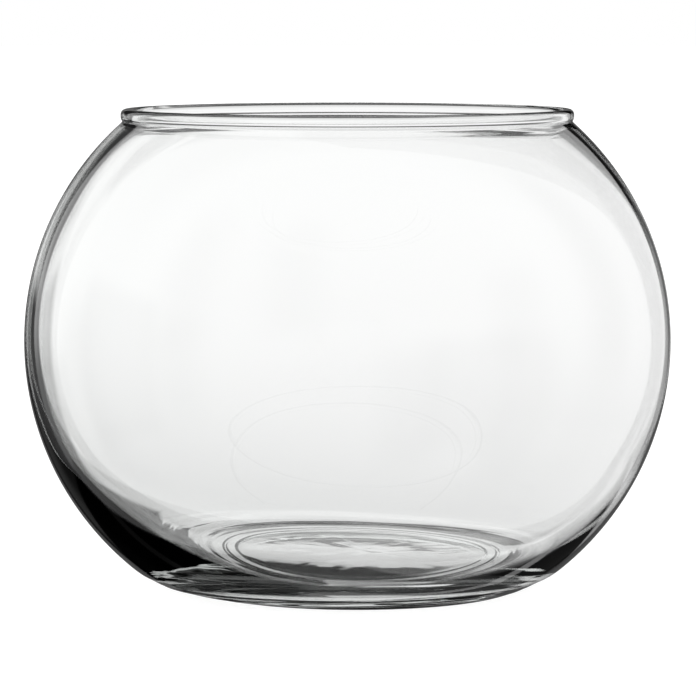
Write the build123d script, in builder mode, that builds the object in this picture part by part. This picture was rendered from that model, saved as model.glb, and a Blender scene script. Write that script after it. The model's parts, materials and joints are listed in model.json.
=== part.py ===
"""Rose bowl vase: a round clear-glass bowl with a wide mouth, a short upright lip and a thicker base.

The bowl is round about the Z axis and stands on the plane z = 0. Lengths are in millimetres.
The glass is one piece. It is written as three zones that meet face to face: the base, which is
the thick disc inside the heel, the wall from the heel up to the neck, and the lip.
"""

import math
import os

from build123d import *

# Outside of the bowl
belly_diameter = 152.0  # the widest part
belly_height = 59.0  # height of the widest part above the table
overall_height = 113.5
mouth_diameter = 106.3  # outside of the lip
foot_diameter = 84.7  # where the outside would meet the table if the heel were sharp
heel_radius = 28.0  # rounding between the table and the outside
lip_height = 3.3  # from the neck, where the shoulder meets the lip, up to the lip's crest
lip_rounding = 1.25  # fire-polished edges of the lip
neck_radius = 1.2  # hollow rounding between the shoulder and the lip

# Inside of the bowl
wall = 2.0  # glass at the belly
lip_thickness = 3.2
throat_depth = 5.1  # from the lip's crest down to the throat, where the inside meets the bore of the mouth
throat_radius = 1.5  # rounding of the throat
base_thickness = 5.0  # from the table to the floor of the bowl
floor_diameter = 80.0  # where the inside would meet the floor if the corner were sharp
floor_radius = 11.0  # rounding between the floor and the inside

# Underside
bearing_width = 2.0  # flat ring round the shallow hollow, to stand on
hollow_depth = 1.2
hollow_slope = 45.0  # degrees, the hollow's edge against the table
hollow_rounding = 0.6

# Zones of the glass
base_diameter = 72.0  # edge of the disc that counts as the base

# Most of the room beside a rounding that the rounding may take
round_share = 0.9


# The section's curves are arcs that start upright at the belly
belly_radius = belly_diameter / 2
mouth_radius = mouth_diameter / 2
bore_radius = mouth_radius - lip_thickness
neck_height = overall_height - lip_height
throat_height = overall_height - throat_depth


def arc_radius(inset, height):
    """Radius of an arc that starts upright and reaches that far in and that far up."""
    return (inset**2 + height**2) / (2 * inset)


# The glass of the shoulder grows from the belly's wall to the thickness of the lip
shoulder_radius = arc_radius(belly_radius - mouth_radius, neck_height - belly_height)
inner_shoulder_radius = arc_radius(belly_radius - wall - bore_radius, throat_height - belly_height)


# The heel's rounding leaves the table at the outer edge of the bearing ring
lower_radius = arc_radius(belly_radius - foot_diameter / 2, belly_height)
bearing_reach = math.sqrt((lower_radius - heel_radius) ** 2 - (belly_height - heel_radius) ** 2)
hollow_radius = belly_radius - lower_radius + bearing_reach - bearing_width


def round_at_lip(radius, corner_height, turn):
    """That radius, or less where it would run into the rounded edge of the lip."""
    upright = overall_height - lip_rounding - corner_height
    return min(radius, round_share * upright / math.tan(turn / 2))


neck_rounding = round_at_lip(
    neck_radius, neck_height, math.asin((neck_height - belly_height) / shoulder_radius)
)
throat_rounding = round_at_lip(
    throat_radius, throat_height, math.asin((throat_height - belly_height) / inner_shoulder_radius)
)
lip_edge_rounding = min(lip_rounding, round_share * lip_thickness / 2)


def half_section(belly, low_radius, low_height, top_radius, corner_height):
    """Face to spin about the axis, from a flat bottom up two arcs to an upright mouth."""
    with BuildSketch(Plane.XZ) as section:
        with BuildLine():
            Line((0, low_height), (low_radius, low_height))
            TangentArc((belly, belly_height), (low_radius, low_height), tangent=(0, -1))
            TangentArc((belly, belly_height), (top_radius, corner_height), tangent=(0, 1))
            Polyline(
                (top_radius, corner_height),
                (top_radius, overall_height),
                (0, overall_height),
                (0, low_height),
            )
        make_face()
    return section.sketch


def rings(solid):
    """The closed round edges of a spun solid, from the lowest to the highest."""
    return solid.edges().filter_by(lambda edge: edge.is_closed).sort_by(Axis.Z)


# Inside of the bowl as a solid: its second highest edge is the throat and its lowest the floor's
with BuildPart() as cavity:
    add(half_section(belly_radius - wall, floor_diameter / 2, base_thickness, bore_radius, throat_height))
    revolve(axis=Axis.Z)
    fillet(rings(cavity)[-2], throat_rounding)
    fillet(rings(cavity)[0], floor_radius)

# The whole glass, before it is parted into zones
with BuildPart() as glass:
    # Outside: its second highest edge is the neck and its lowest the heel
    add(half_section(belly_radius, foot_diameter / 2, 0, mouth_radius, neck_height))
    revolve(axis=Axis.Z)
    fillet(rings(glass)[-2], neck_rounding)
    fillet(rings(glass)[0], heel_radius)
    add(cavity.part, mode=Mode.SUBTRACT)

    # Fire-polished edges of the lip
    lip_face = glass.faces().sort_by(Axis.Z)[-1]
    fillet(lip_face.edges(), lip_edge_rounding)

    # Hollow of the underside, with its rounded edge
    hollow_top_radius = hollow_radius - hollow_depth / math.tan(math.radians(hollow_slope))
    with BuildSketch(Plane.XZ):
        with BuildLine():
            Polyline(
                (0, 0),
                (hollow_radius, 0),
                (hollow_top_radius, hollow_depth),
                (0, hollow_depth),
                close=True,
            )
        make_face()
    revolve(axis=Axis.Z, mode=Mode.SUBTRACT)
    hollow_edge = glass.faces().filter_by(GeomType.CONE)[0]
    fillet(rings(hollow_edge), hollow_rounding)

# Base: the thick disc that carries the floor and stands on the bearing ring
with BuildPart() as base:
    add(glass.part)
    with BuildSketch():
        Circle(base_diameter / 2)
    extrude(amount=belly_height, mode=Mode.INTERSECT)
base.part.label = "base"

# Wall: heel, belly and shoulder
with BuildPart() as bowl_wall:
    add(glass.part)
    with BuildSketch():
        Circle(base_diameter / 2)
    extrude(amount=belly_height, mode=Mode.SUBTRACT)
    split(bisect_by=Plane.XY.offset(neck_height), keep=Keep.BOTTOM)
bowl_wall.part.label = "bowl_wall"

# Lip: the bead round the mouth
with BuildPart() as lip:
    add(glass.part)
    split(bisect_by=Plane.XY.offset(neck_height), keep=Keep.TOP)
lip.part.label = "lip"

os.makedirs("parts", exist_ok=True)
for zone in (base, bowl_wall, lip):
    export_step(zone.part, f"parts/{zone.part.label}.step")
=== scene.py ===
"""Rose bowl vase in clear glass, spun from one section, in a white light tent with dark cards."""

import json
import math

import bmesh
import bpy
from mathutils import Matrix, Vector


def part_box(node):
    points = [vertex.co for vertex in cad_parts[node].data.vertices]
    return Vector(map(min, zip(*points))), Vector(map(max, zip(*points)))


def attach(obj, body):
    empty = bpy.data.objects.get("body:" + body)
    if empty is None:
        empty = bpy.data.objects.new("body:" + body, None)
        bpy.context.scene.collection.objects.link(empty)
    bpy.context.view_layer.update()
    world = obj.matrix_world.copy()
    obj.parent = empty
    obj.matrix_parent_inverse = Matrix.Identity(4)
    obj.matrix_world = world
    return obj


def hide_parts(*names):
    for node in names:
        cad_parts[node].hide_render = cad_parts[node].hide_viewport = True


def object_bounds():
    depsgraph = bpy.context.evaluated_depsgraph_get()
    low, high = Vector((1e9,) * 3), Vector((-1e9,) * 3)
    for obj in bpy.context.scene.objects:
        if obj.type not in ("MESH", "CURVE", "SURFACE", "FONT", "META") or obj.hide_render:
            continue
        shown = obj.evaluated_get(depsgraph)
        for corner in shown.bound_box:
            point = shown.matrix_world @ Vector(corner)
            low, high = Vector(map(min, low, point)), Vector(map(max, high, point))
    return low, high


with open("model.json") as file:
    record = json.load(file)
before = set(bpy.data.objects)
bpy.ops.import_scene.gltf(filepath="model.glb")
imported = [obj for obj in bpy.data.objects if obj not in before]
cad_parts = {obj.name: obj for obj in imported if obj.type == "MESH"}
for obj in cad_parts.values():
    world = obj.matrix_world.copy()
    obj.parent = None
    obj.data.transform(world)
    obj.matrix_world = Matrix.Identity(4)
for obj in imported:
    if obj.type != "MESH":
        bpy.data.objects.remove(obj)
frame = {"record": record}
cad_low, cad_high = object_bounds()
record = frame["record"]

MM = 0.001

# Sizes that the frame gives
belly_radius = min(cad_high.x, cad_high.y, -cad_low.x, -cad_low.y)
overall_height = cad_high.z
base_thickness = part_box("base")[1].z
neck_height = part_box("lip")[0].z
bore_radius = next(m["dims"]["r_mm"] for m in record["mounts"] if m["name"] == "mouth") * MM

# Sizes of the section that the frame's boxes don't show
belly_height = 59.0 * MM
lip_thickness = 3.2 * MM
lip_rounding = 1.25 * MM
bead_face = 0.6 * MM
neck_radius = 0.4 * MM
neck_pinch = 0.3 * MM
throat_depth = 4.2 * MM
throat_radius = 1.5 * MM
wall = 2.0 * MM
foot_radius = 42.35 * MM
heel_radius = 28.0 * MM
floor_radius = 40.0 * MM
floor_rounding = 11.0 * MM

# Underside: a domed hollow with a low step, and two flat rings to stand on with a groove between them
dome_height = 0.85 * MM
step_height = 0.35 * MM
step_radius = (29.8 * MM, 30.8 * MM)
groove_radius = 33.2 * MM
groove_width = 1.6 * MM
groove_depth = 0.2 * MM
heel_rise = (35.2 * MM, 37.5 * MM)

# The inside, the mouth and the hollow stand a little to the right of the outside. Between them the shift
# changes over these heights and radii.
inside_shift = 1.1 * MM
mouth_shift = 0.45 * MM
hollow_shift = 2.3 * MM
throat_fade = (90.0 * MM, 113.0 * MM)
floor_fade = (5.0 * MM, 35.0 * MM)
heel_fade = (34.0 * MM, 46.0 * MM)

# Ripples in the hollow, and finer ones that run round the heel
ripple_radius = 27.0 * MM
ripple_height = 0.3 * MM
ripple_density = 120.0
heel_ripple_height = 0.4 * MM
heel_ripple_density = 480.0
heel_ripple_turns = 1.6
heel_ripple_start = 36.0 * MM
heel_ripple_end = 50.0 * MM

# Where the ripples fade, as shares of the hollow's radius, of the heel's start and of the base's thickness
hollow_fade_share = 0.85
heel_full_share = 1.1
ripple_top_share = 0.95
ripple_top_fade = 0.7

# Fineness of the spun mesh
long_step = 1.8 * MM
groove_step = 0.2 * MM
heel_step = 0.4 * MM
small_arc_steps = 10
segments = 256
merge_distance = 0.001 * MM

# Clear glass: its body, and the smears in its polish
glass_ior = 1.51
glass_tint = (0.90, 0.97, 0.925, 1.0)
glass_density = 18.0
smear_scale = 28.0
smear_range = (0.62, 0.8)
smear_roughness = 0.02

# Studio floor
studio_floor_size = 8.0
studio_floor_colour = (0.4, 0.4, 0.4, 1.0)
studio_floor_glow = 0.82

# Light tent, in degrees of azimuth and elevation around the bowl: its level, and the brighter light behind
# the camera
tent_light = 0.97
front_light = 0.2
front_light_side = 85.0
front_light_blur = 30.0

# Dark surround of the backdrop. A slanting edge is its place at the horizon, its lean for each degree of
# elevation and its blur, and a level edge is its place and its blur.
surround_left = (-31.5, 0.267, 2.8)
surround_left_bend = -0.005
surround_right = (25.0, -0.2, 2.0)
surround_top = (38.0, 4.0)

# Backdrop in the surround: the edges of the dark cards beside and above it, how dark they are, and how far
# the upper edge curves down at the sides
left_card_edge = (-14.6, 2.1)
left_card_dark = 0.93
right_card_edge = (12.8, -0.36, 4.0)
right_card_low = (-16.8, 36.0)
right_card_dark = 0.80
top_card_edge = (11.5, 5.0)
top_card_curve = 0.018
top_card_dark = 0.95

# Grey light in front of the left card: its left and low edge, and its strength
glow_left = (-27.5, 4.0)
glow_low = (0.0, 3.0)
glow_light = 0.75

# Light of the backdrop: below, above, where they meet, and a little more at the sides
backdrop_light = (0.72, 0.97)
backdrop_fade = (-8.6, 16.5)
backdrop_side = (10.6, 15.8)
backdrop_side_light = 0.11

# Table in front of the backdrop as the glass sees it, painted dark as the table's shade near the bowl
table_shade_edge = (-21.4, 1.5)
table_shade_right = (22.0, -0.35, 6.0)
table_shade_dark = 0.96

# Light on the table: a patch of the window's shine, and the strip just under the bowl
shine_sides = (4.0, 16.0)
shine_low = -28.0
shine_blur = 3.0
strip_edge = (-62.0, 2.0)
strip_width = 8.0
strip_middle = -3.0
strip_curve = 0.02
strip_light = 1.0

# Fainter soft cards to the sides and behind: left, right, low and high edge, blur and darkness
soft_cards = [
    ("side_card", -78.0, -58.0, -50.0, 6.0, 18.0, 0.35),
    ("far_side_card", -125.0, -103.0, -26.0, 8.0, 18.0, 0.35),
    ("back_left_card", 147.0, 169.0, -46.0, 2.0, 18.0, 0.35),
    ("back_right_card", 102.0, 123.0, -46.0, 2.0, 18.0, 0.35),
]

# Dark frames close behind the bowl, which only reflections on its outside see, in the same terms
frame_cards = [
    ("back_frame", -18.0, 18.0, -26.0, 14.0, 4.0, 0.85),
    ("left_frame", -108.0, -72.0, -26.0, 14.0, 8.0, 0.65),
    ("back_left_frame", -63.0, -27.0, -45.0, -5.0, 8.0, 0.65),
    ("front_right_frame", 117.0, 153.0, -35.0, 5.0, 12.0, 0.65),
]

# Camera: fitted to the bowl's outline in the photograph
camera_shift = 0.00014
camera_distance = 1.0603
camera_height = 0.1450
camera_tilt = math.radians(4.735)
camera_lens = 233.6
camera_sensor = 36.0
camera_reach = 50.0


def node(tree, kind, inputs=None, **settings):
    """Adds a node, with its properties set and its inputs set or linked, by name or number."""
    made = tree.nodes.new(kind)
    for name, value in settings.items():
        setattr(made, name, value)
    for key, value in (inputs or {}).items():
        if isinstance(value, bpy.types.NodeSocket):
            tree.links.new(value, made.inputs[key])
        else:
            made.inputs[key].default_value = value
    return made


def maths(tree, operation, *values):
    """A Math node's result."""
    return node(tree, "ShaderNodeMath", dict(enumerate(values)), operation=operation).outputs[0]


def vector(tree, operation, *values):
    """A Vector Math node."""
    return node(tree, "ShaderNodeVectorMath", dict(enumerate(values)), operation=operation)


def smooth_step(value, start, end):
    """0 before the start and 1 past the end, with a smooth rise between them."""
    part = min(max((value - start) / (end - start), 0.0), 1.0)
    return part * part * (3 - 2 * part)


def arc(centre, radius, start, end, step=long_step):
    """Points along an arc in the section's plane, from one angle to another, without the first."""
    steps = max(small_arc_steps, math.ceil(abs(end - start) * radius / step))
    angles = [start + (end - start) * i / steps for i in range(1, steps + 1)]
    return [(centre[0] + radius * math.cos(a), centre[1] + radius * math.sin(a)) for a in angles]


def straight(start, end):
    """Points along a straight stretch, without the first."""
    steps = max(1, math.ceil(math.dist(start, end) / long_step))
    return [
        (start[0] + (end[0] - start[0]) * i / steps, start[1] + (end[1] - start[1]) * i / steps)
        for i in range(1, steps + 1)
    ]


def arc_radius(inset, height):
    """Radius of an arc that starts upright and reaches that far in and that far up."""
    return (inset**2 + height**2) / (2 * inset)


def low_rounding(arc_centre, radius, flat_height, rounding):
    """Centre of the rounding between a flat and the arc above it, and the angle where they meet."""
    along = math.sqrt((radius - rounding) ** 2 - (belly_height - flat_height - rounding) ** 2)
    centre = (arc_centre + along, flat_height + rounding)
    return centre, math.atan2(centre[1] - belly_height, along)


def high_rounding(arc_centre, radius, upright_radius, rounding):
    """Centre of the rounding between an upright and the arc below it, and the angle where they meet."""
    along = upright_radius + rounding - arc_centre
    up = math.sqrt((radius + rounding) ** 2 - along**2)
    return (upright_radius + rounding, belly_height + up), math.atan2(up, along)


def underside(radius, heel_start):
    """Height of the underside at a radius."""
    height = dome_height * max(0.0, 1 - (radius / step_radius[0]) ** 2)
    height += step_height * (1 - smooth_step(radius, *step_radius))
    if radius > heel_start:
        rise = heel_radius - math.sqrt(heel_radius**2 - (radius - heel_start) ** 2)
        height += rise * smooth_step(radius, *heel_rise)
    if abs(radius - groove_radius) < groove_width / 2:
        turn = 2 * math.pi * (radius - groove_radius) / groove_width
        height += groove_depth * (0.5 + 0.5 * math.cos(turn))
    return height


def sideways(radius, height, inside):
    """How far to the right a point of the section stands, once it is spun."""
    if inside:
        low = (hollow_shift - inside_shift) * (1 - smooth_step(height, *floor_fade))
        high = (mouth_shift - inside_shift) * smooth_step(height, *throat_fade)
        return inside_shift + low + high
    if height > belly_height:
        return 0.0
    return hollow_shift * (1 - smooth_step(radius, *heel_fade))


def glass_section():
    """Radius, height and shift of the section's points, from underneath, over the lip, to the floor."""
    mouth_radius = bore_radius + lip_thickness
    quarter = math.pi / 2
    shoulder = arc_radius(belly_radius - mouth_radius, neck_height - belly_height)
    shoulder_centre = belly_radius - shoulder
    lower = arc_radius(belly_radius - foot_radius, belly_height)
    lower_centre = belly_radius - lower
    inner_belly = belly_radius - wall
    throat_height = overall_height - throat_depth
    inner_shoulder = arc_radius(inner_belly - bore_radius, throat_height - belly_height)
    inner_shoulder_centre = inner_belly - inner_shoulder
    inner_lower = arc_radius(inner_belly - floor_radius, belly_height - base_thickness)
    inner_lower_centre = inner_belly - inner_lower
    heel_centre, heel_angle = low_rounding(lower_centre, lower, 0.0, heel_radius)
    floor_centre, floor_angle = low_rounding(
        inner_lower_centre, inner_lower, base_thickness, floor_rounding
    )
    neck_upright = mouth_radius - neck_pinch
    neck_centre, neck_angle = high_rounding(shoulder_centre, shoulder, neck_upright, neck_radius)
    throat_centre, throat_angle = high_rounding(
        inner_shoulder_centre, inner_shoulder, bore_radius, throat_radius
    )
    lip_base = overall_height - lip_rounding

    # Underside: the hollow, the two rings and the start of the heel
    dome_edge = step_radius[0]
    rings_width = heel_rise[1] - dome_edge
    dome_steps = math.ceil(dome_edge / long_step)
    ring_steps = math.ceil(rings_width / groove_step)
    reaches = [dome_edge * i / dome_steps for i in range(dome_steps)]
    reaches += [dome_edge + rings_width * i / ring_steps for i in range(ring_steps + 1)]
    points = [(reach, underside(reach, heel_centre[0])) for reach in reaches]

    # Outside: heel, belly, shoulder and neck
    first = -math.acos((heel_rise[1] - heel_centre[0]) / heel_radius)
    rippled_end = -math.acos((heel_ripple_end - heel_centre[0]) / heel_radius)
    points += arc(heel_centre, heel_radius, first, rippled_end, heel_step)
    points += arc(heel_centre, heel_radius, rippled_end, heel_angle)
    points += arc((lower_centre, belly_height), lower, heel_angle, 0.0)
    points += arc((shoulder_centre, belly_height), shoulder, 0.0, neck_angle)
    points += arc(neck_centre, neck_radius, neck_angle + math.pi, math.pi)

    # Lip: the round bead over the pinched neck, and its crest
    bead_centre = mouth_radius - lip_rounding
    bead_low = lip_base - bead_face
    bead_turn = math.acos(1 - neck_pinch / lip_rounding)
    points += straight(points[-1], (neck_upright, bead_low - lip_rounding * math.sin(bead_turn)))
    points += arc((bead_centre, bead_low), lip_rounding, -bead_turn, 0.0)
    points += straight(points[-1], (mouth_radius, lip_base))
    points += arc((bead_centre, lip_base), lip_rounding, 0.0, quarter)
    points += straight(points[-1], (bore_radius + lip_rounding, overall_height))
    outside_count = len(points)
    points += arc((bore_radius + lip_rounding, lip_base), lip_rounding, quarter, math.pi)

    # Inside: throat, shoulder, belly and floor
    points += straight(points[-1], (bore_radius, throat_centre[1]))
    points += arc(throat_centre, throat_radius, math.pi, throat_angle + math.pi)
    points += arc((inner_shoulder_centre, belly_height), inner_shoulder, throat_angle, 0.0)
    points += arc((inner_lower_centre, belly_height), inner_lower, 0.0, floor_angle)
    points += arc(floor_centre, floor_rounding, floor_angle, -quarter)
    points += straight(points[-1], (0.0, base_thickness))
    return [
        (radius, height, sideways(radius, height, i >= outside_count))
        for i, (radius, height) in enumerate(points)
    ]


def section_curve(points):
    """A curve through the section's points, upright over the X axis, with the shifts as its radius."""
    curve = bpy.data.curves.new("glass_section", "CURVE")
    curve.dimensions = "3D"
    spline = curve.splines.new("POLY")
    spline.points.add(len(points) - 1)
    for point, (radius, height, shift) in zip(spline.points, points):
        point.co = (radius, 0.0, height, 1.0)
        point.radius = shift
    made = bpy.data.objects.new("glass_section", curve)
    bpy.context.scene.collection.objects.link(made)
    return made


def spinning_tree():
    """Geometry Nodes that spin a section about the Z axis and ripple the hollow and the heel."""
    tree = bpy.data.node_groups.new("spun_glass", "GeometryNodeTree")
    sockets = tree.interface
    sockets.new_socket("Section", in_out="INPUT", socket_type="NodeSocketGeometry")
    sockets.new_socket("Segments", in_out="INPUT", socket_type="NodeSocketInt")
    sockets.new_socket("Ripple Height", in_out="INPUT", socket_type="NodeSocketFloat")
    sockets.new_socket("Ripple Density", in_out="INPUT", socket_type="NodeSocketFloat")
    sockets.new_socket("Ripple Radius", in_out="INPUT", socket_type="NodeSocketFloat")
    sockets.new_socket("Ripple Top", in_out="INPUT", socket_type="NodeSocketFloat")
    sockets.new_socket("Hollow Shift", in_out="INPUT", socket_type="NodeSocketFloat")
    sockets.new_socket("Heel Ripple Height", in_out="INPUT", socket_type="NodeSocketFloat")
    sockets.new_socket("Heel Ripple Density", in_out="INPUT", socket_type="NodeSocketFloat")
    sockets.new_socket("Heel Ripple Turns", in_out="INPUT", socket_type="NodeSocketFloat")
    sockets.new_socket("Heel Ripple Start", in_out="INPUT", socket_type="NodeSocketFloat")
    sockets.new_socket("Material", in_out="INPUT", socket_type="NodeSocketMaterial")
    sockets.new_socket("Glass", in_out="OUTPUT", socket_type="NodeSocketGeometry")
    given = node(tree, "NodeGroupInput").outputs

    # A grid with a row for each point of the section and a column for each segment
    rows = node(
        tree, "GeometryNodeAttributeDomainSize", {0: given["Section"]}, component="CURVE"
    ).outputs[0]
    grid = node(
        tree,
        "GeometryNodeMeshGrid",
        {
            "Size X": 1.0,
            "Size Y": 1.0,
            "Vertices X": maths(tree, "ADD", given["Segments"], 1),
            "Vertices Y": rows,
        },
    )
    place = node(tree, "GeometryNodeInputPosition").outputs[0]
    split = node(tree, "ShaderNodeSeparateXYZ", {0: place}).outputs
    row = maths(tree, "MULTIPLY", maths(tree, "ADD", split["Y"], 0.5), maths(tree, "SUBTRACT", rows, 1))
    index = maths(tree, "ROUND", row)
    sample = node(
        tree,
        "GeometryNodeSampleIndex",
        {"Geometry": given["Section"], "Value": place, "Index": index},
        data_type="FLOAT_VECTOR",
        domain="POINT",
    )
    shift = node(
        tree,
        "GeometryNodeSampleIndex",
        {
            "Geometry": given["Section"],
            "Value": node(tree, "GeometryNodeInputRadius").outputs[0],
            "Index": index,
        },
        data_type="FLOAT",
        domain="POINT",
    ).outputs[0]
    on_section = node(tree, "ShaderNodeSeparateXYZ", {0: sample.outputs[0]}).outputs
    turn = maths(tree, "MULTIPLY", split["X"], 2 * math.pi)
    along = maths(tree, "MULTIPLY", on_section["X"], maths(tree, "COSINE", turn))
    spun = node(
        tree,
        "ShaderNodeCombineXYZ",
        {
            "X": maths(tree, "ADD", along, shift),
            "Y": maths(tree, "MULTIPLY", on_section["X"], maths(tree, "SINE", turn)),
            "Z": on_section["Z"],
        },
    )
    wrapped = node(
        tree, "GeometryNodeSetPosition", {"Geometry": grid.outputs[0], "Position": spun.outputs[0]}
    )
    closed = node(
        tree, "GeometryNodeMergeByDistance", {"Geometry": wrapped.outputs[0], "Distance": merge_distance}
    )

    # Ripples in the hollow, fading towards its edge
    middle = node(tree, "ShaderNodeCombineXYZ", {"X": given["Hollow Shift"]}).outputs[0]
    aside = vector(tree, "SUBTRACT", place, middle).outputs[0]
    flat = vector(tree, "MULTIPLY", aside, (1.0, 1.0, 0.0)).outputs[0]
    reach = vector(tree, "LENGTH", flat).outputs["Value"]
    fade = node(
        tree,
        "ShaderNodeMapRange",
        {
            "Value": reach,
            "From Min": maths(tree, "MULTIPLY", given["Ripple Radius"], hollow_fade_share),
            "From Max": given["Ripple Radius"],
            "To Min": given["Ripple Height"],
            "To Max": 0.0,
        },
    ).outputs[0]
    noise = node(
        tree,
        "ShaderNodeTexNoise",
        {
            "Vector": flat,
            "Scale": given["Ripple Density"],
            "Detail": 2.0,
            "Roughness": 0.4,
            "Distortion": 0.8,
        },
    ).outputs[0]
    hollow_lift = maths(tree, "MULTIPLY", maths(tree, "SUBTRACT", noise, 0.5), fade)

    # Finer ripples that run round the heel
    way = vector(tree, "NORMALIZE", flat).outputs[0]
    round_heel = node(
        tree, "ShaderNodeVectorMath", {0: way, "Scale": given["Heel Ripple Turns"]}, operation="SCALE"
    ).outputs[0]
    across = maths(tree, "MULTIPLY", reach, given["Heel Ripple Density"])
    upward = node(tree, "ShaderNodeCombineXYZ", {"Z": across}).outputs[0]
    streak = vector(tree, "ADD", round_heel, upward).outputs[0]
    streaks = node(tree, "ShaderNodeTexNoise", {"Vector": streak, "Scale": 1.0, "Detail": 1.0}).outputs[0]
    outer = node(
        tree,
        "ShaderNodeMapRange",
        {
            "Value": reach,
            "From Min": given["Heel Ripple Start"],
            "From Max": maths(tree, "MULTIPLY", given["Heel Ripple Start"], heel_full_share),
            "To Min": 0.0,
            "To Max": given["Heel Ripple Height"],
        },
    ).outputs[0]
    heel_lift = maths(tree, "MULTIPLY", streaks, outer)

    height = node(tree, "ShaderNodeSeparateXYZ", {0: place}).outputs["Z"]
    under = node(
        tree,
        "ShaderNodeMapRange",
        {
            "Value": height,
            "From Min": maths(tree, "MULTIPLY", given["Ripple Top"], ripple_top_fade),
            "From Max": given["Ripple Top"],
            "To Min": 1.0,
            "To Max": 0.0,
        },
    ).outputs[0]
    lift = maths(tree, "MULTIPLY", under, maths(tree, "ADD", hollow_lift, heel_lift))
    offset = node(tree, "ShaderNodeCombineXYZ", {"Z": lift}).outputs[0]
    rippled = node(tree, "GeometryNodeSetPosition", {"Geometry": closed.outputs[0], "Offset": offset})

    smooth = node(tree, "GeometryNodeSetShadeSmooth", {"Geometry": rippled.outputs[0]})
    real = node(tree, "GeometryNodeRealizeInstances", {"Geometry": smooth.outputs[0]})
    painted = node(
        tree, "GeometryNodeSetMaterial", {"Geometry": real.outputs[0], "Material": given["Material"]}
    )
    node(tree, "NodeGroupOutput", {0: painted.outputs[0]})
    return tree


def set_inputs(modifier, values):
    """Sets a Geometry Nodes modifier's inputs by their sockets' identifiers."""
    for item in modifier.node_group.interface.items_tree:
        if item.item_type == "SOCKET" and item.in_out == "INPUT" and item.name in values:
            modifier[item.identifier] = values[item.name]


def clear_glass():
    """Colourless soda glass with a faint green body, and a polish that is not quite even."""
    material = bpy.data.materials.new("clear_glass")
    material.use_nodes = True
    tree = material.node_tree
    tree.nodes.clear()
    where = node(tree, "ShaderNodeTexCoord").outputs["Object"]
    smears = node(
        tree, "ShaderNodeTexNoise", {"Vector": where, "Scale": smear_scale, "Detail": 3.0}
    ).outputs[0]
    smear_start, smear_full = smear_range
    polish = node(
        tree,
        "ShaderNodeMapRange",
        {
            "Value": smears,
            "From Min": smear_start,
            "From Max": smear_full,
            "To Min": 0.0,
            "To Max": smear_roughness,
        },
    ).outputs[0]
    glass = node(
        tree,
        "ShaderNodeBsdfPrincipled",
        {
            "Base Color": (1.0, 1.0, 1.0, 1.0),
            "Roughness": polish,
            "IOR": glass_ior,
            "Transmission Weight": 1.0,
        },
    )
    body = node(tree, "ShaderNodeVolumeAbsorption", {"Color": glass_tint, "Density": glass_density})
    node(tree, "ShaderNodeOutputMaterial", {"Surface": glass.outputs[0], "Volume": body.outputs[0]})
    return material


def glass_bowl():
    """The bowl as one closed glass mesh."""
    section = section_curve(glass_section())
    spin = section.modifiers.new("spun_glass", "NODES")
    spin.node_group = spinning_tree()
    set_inputs(
        spin,
        {
            "Segments": segments,
            "Ripple Height": ripple_height,
            "Ripple Density": ripple_density,
            "Ripple Radius": ripple_radius,
            "Ripple Top": base_thickness * ripple_top_share,
            "Hollow Shift": hollow_shift,
            "Heel Ripple Height": heel_ripple_height,
            "Heel Ripple Density": heel_ripple_density,
            "Heel Ripple Turns": heel_ripple_turns,
            "Heel Ripple Start": heel_ripple_start,
            "Material": clear_glass(),
        },
    )
    seen = section.evaluated_get(bpy.context.evaluated_depsgraph_get())
    mesh = bpy.data.meshes.new_from_object(seen)
    mesh.name = "glass_bowl"
    bpy.data.objects.remove(section)
    shape = bmesh.new()
    shape.from_mesh(mesh)
    bmesh.ops.recalc_face_normals(shape, faces=shape.faces)
    shape.to_mesh(mesh)
    shape.free()
    bowl = bpy.data.objects.new("glass_bowl", mesh)
    bpy.context.scene.collection.objects.link(bowl)
    return bowl


def white_floor():
    """A wide pale floor that shows the bowl's shadow faintly."""
    size = studio_floor_size
    mesh = bpy.data.meshes.new("studio_floor")
    corners = [(-size, -size, 0), (size, -size, 0), (size, size, 0), (-size, size, 0)]
    mesh.from_pydata(corners, [], [(0, 1, 2, 3)])
    floor = bpy.data.objects.new("studio_floor", mesh)
    bpy.context.scene.collection.objects.link(floor)
    material = bpy.data.materials.new("studio_floor")
    material.use_nodes = True
    tree = material.node_tree
    tree.nodes.clear()
    matt = node(tree, "ShaderNodeBsdfDiffuse", {"Color": studio_floor_colour})
    glow = node(tree, "ShaderNodeEmission", {"Strength": studio_floor_glow})
    both = node(tree, "ShaderNodeAddShader", {0: matt.outputs[0], 1: glow.outputs[0]})
    node(tree, "ShaderNodeOutputMaterial", {"Surface": both.outputs[0]})
    mesh.materials.append(material)
    floor.visible_transmission = False
    floor.visible_glossy = False
    return floor


def edge(tree, value, middle, blur):
    """0 below an edge and 1 above it, with a soft rise that is as wide as the blur."""
    half = maths(tree, "MULTIPLY", blur, 0.5)
    rise = node(
        tree,
        "ShaderNodeMapRange",
        {
            "Value": value,
            "From Min": maths(tree, "SUBTRACT", middle, half),
            "From Max": maths(tree, "ADD", middle, half),
        },
        interpolation_type="SMOOTHSTEP",
    )
    return rise.outputs[0]


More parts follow.
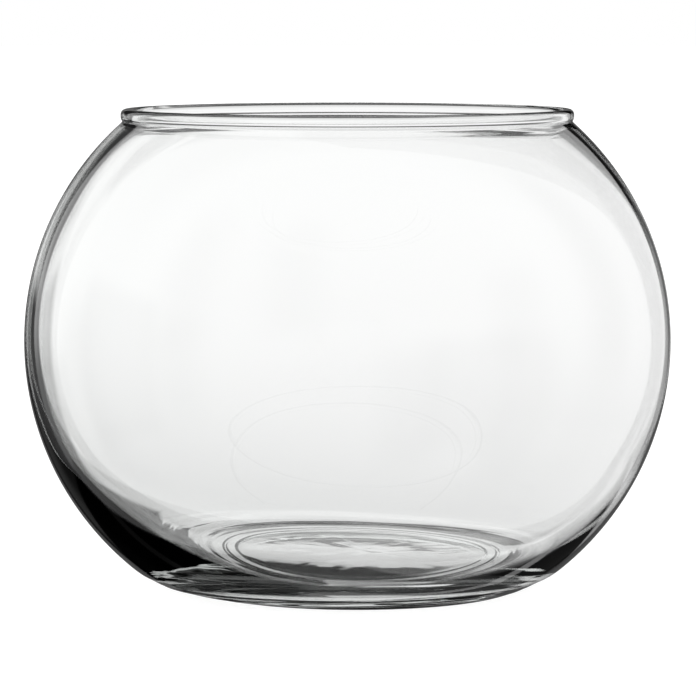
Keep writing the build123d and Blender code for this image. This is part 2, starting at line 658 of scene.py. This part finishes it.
def patch_tree():
    """Shader node group for the share of one soft-edged rectangle of directions."""
    tree = bpy.data.node_groups.new("soft_patch", "ShaderNodeTree")
    for name in ("Azimuth", "Elevation", "Middle", "Half Width", "Low", "High", "Blur"):
        tree.interface.new_socket(name, in_out="INPUT", socket_type="NodeSocketFloat")
    tree.interface.new_socket("Share", in_out="OUTPUT", socket_type="NodeSocketFloat")
    given = node(tree, "NodeGroupInput").outputs
    turned = maths(tree, "SUBTRACT", given["Azimuth"], given["Middle"])
    aside = maths(tree, "ABSOLUTE", maths(tree, "WRAP", turned, -180.0, 180.0))
    outside = edge(tree, aside, given["Half Width"], given["Blur"])
    above = edge(tree, given["Elevation"], given["Low"], given["Blur"])
    over = edge(tree, given["Elevation"], given["High"], given["Blur"])
    rows = maths(tree, "MULTIPLY", above, maths(tree, "SUBTRACT", 1.0, over))
    share = maths(tree, "MULTIPLY", rows, maths(tree, "SUBTRACT", 1.0, outside))
    node(tree, "NodeGroupOutput", {0: share})
    return tree


def light_tent():
    """The world: white to the camera, and to the glass a white tent with dark cards in it."""
    world = bpy.data.worlds.new("light_tent")
    bpy.context.scene.world = world
    world.use_nodes = True
    tree = world.node_tree
    tree.nodes.clear()
    way = node(tree, "ShaderNodeTexCoord").outputs["Generated"]
    split = node(tree, "ShaderNodeSeparateXYZ", {0: way}).outputs
    azimuth = maths(tree, "DEGREES", maths(tree, "ARCTAN2", split["X"], split["Y"]))
    elevation = maths(tree, "DEGREES", maths(tree, "ARCSINE", split["Z"]))
    aside = maths(tree, "ABSOLUTE", azimuth)

    def product(*values):
        """All the values multiplied."""
        total = values[0]
        for value in values[1:]:
            total = maths(tree, "MULTIPLY", total, value)
        return total

    def rest(value):
        """What is left of 1."""
        return maths(tree, "SUBTRACT", 1.0, value)

    def right_of(place, lean, blur, bend=0.0):
        """1 to the right of a slanting edge, and 0 to its left."""
        below = maths(tree, "MINIMUM", elevation, 0.0)
        bent = maths(tree, "MULTIPLY", maths(tree, "MULTIPLY", below, below), bend)
        leaning = maths(tree, "ADD", maths(tree, "MULTIPLY", elevation, lean), place)
        return edge(tree, azimuth, maths(tree, "ADD", leaning, bent), blur)

    def above(place, blur):
        """1 above a level edge, and 0 below it."""
        return edge(tree, elevation, place, blur)

    # Tent, with more light from the front
    behind = edge(tree, aside, front_light_side, front_light_blur)
    extra = product(behind, above(0.0, front_light_blur), front_light)
    light = maths(tree, "ADD", extra, tent_light)

    # Backdrop inside the surround
    from_left = right_of(*surround_left, surround_left_bend)
    to_right = rest(right_of(*surround_right))
    under_top = rest(above(*surround_top))
    surround = product(from_left, to_right, under_top)
    low_light, high_light = backdrop_light
    faded = maths(tree, "ADD", product(above(*backdrop_fade), high_light - low_light), low_light)
    sides = product(edge(tree, aside, *backdrop_side), backdrop_side_light)
    backdrop = product(surround, maths(tree, "ADD", faded, sides))
    light = maths(tree, "ADD", product(light, rest(surround)), backdrop)

    # Dark cards above the backdrop and beside it, with a grey light in front of the left one
    curve = product(azimuth, azimuth, -top_card_curve)
    top_place, top_blur = top_card_edge
    over = edge(tree, elevation, maths(tree, "ADD", curve, top_place), top_blur)
    top_card = product(surround, over, top_card_dark)
    right_card = product(
        right_of(*right_card_edge), to_right, under_top, above(*right_card_low), right_card_dark
    )
    glow = product(edge(tree, azimuth, *glow_left), above(*glow_low), glow_light)
    left_card = product(
        from_left, rest(edge(tree, azimuth, *left_card_edge)), under_top, rest(glow), left_card_dark
    )

    # Table in front, painted dark as its shade near the bowl, with painted light on it
    shine_left, shine_right = shine_sides
    shine = product(
        edge(tree, azimuth, shine_left, shine_blur),
        rest(edge(tree, azimuth, shine_right, shine_blur)),
        above(shine_low, shine_blur),
    )
    off_middle = maths(tree, "SUBTRACT", azimuth, strip_middle)
    strip_place, strip_blur = strip_edge
    strip_end = maths(tree, "ADD", product(off_middle, off_middle, strip_curve), strip_place)
    strip_start = maths(tree, "SUBTRACT", strip_end, strip_width)
    strip = product(
        edge(tree, elevation, strip_start, strip_blur),
        rest(edge(tree, elevation, strip_end, strip_blur)),
        strip_light,
    )
    # Painted shade of the table, less where the painted light of the shine and the strip falls
    table_shade = product(from_left, rest(right_of(*table_shade_right)), rest(above(*table_shade_edge)), table_shade_dark)
    table_shade = product(table_shade, rest(shine), rest(strip))
    for card in (top_card, right_card, left_card, table_shade):
        light = product(light, rest(card))

    # Soft cards and frames
    path = node(tree, "ShaderNodeLightPath").outputs
    patch = patch_tree()
    for cards, seen in ((soft_cards, 1.0), (frame_cards, path["Is Reflection Ray"])):
        for name, left, right, low, high, blur, dark in cards:
            values = {
                "Azimuth": azimuth,
                "Elevation": elevation,
                "Middle": (left + right) / 2,
                "Half Width": (right - left) / 2,
                "Low": low,
                "High": high,
                "Blur": blur,
            }
            share = node(tree, "ShaderNodeGroup", values, node_tree=patch, name=name).outputs[0]
            light = product(light, rest(product(share, dark, seen)))

    shown = maths(tree, "MAXIMUM", light, path["Is Camera Ray"])
    back = node(tree, "ShaderNodeBackground", {"Color": shown, "Strength": 1.0})
    node(tree, "ShaderNodeOutputWorld", {"Surface": back.outputs[0]})


def photo_camera():
    """Camera at the photograph's viewing angle."""
    camera = bpy.data.cameras.new("photo_camera")
    camera.lens = camera_lens
    camera.sensor_width = camera_sensor
    camera.clip_end = camera_reach
    made = bpy.data.objects.new("photo_camera", camera)
    made.location = (camera_shift, -camera_distance, camera_height)
    made.rotation_euler = (math.pi / 2 - camera_tilt, 0.0, 0.0)
    bpy.context.scene.collection.objects.link(made)
    bpy.context.scene.camera = made


bowl = glass_bowl()
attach(bowl, "root")
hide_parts("base", "bowl_wall", "lip")
white_floor()
light_tent()
photo_camera()
bpy.context.scene.view_settings.view_transform = "Standard"
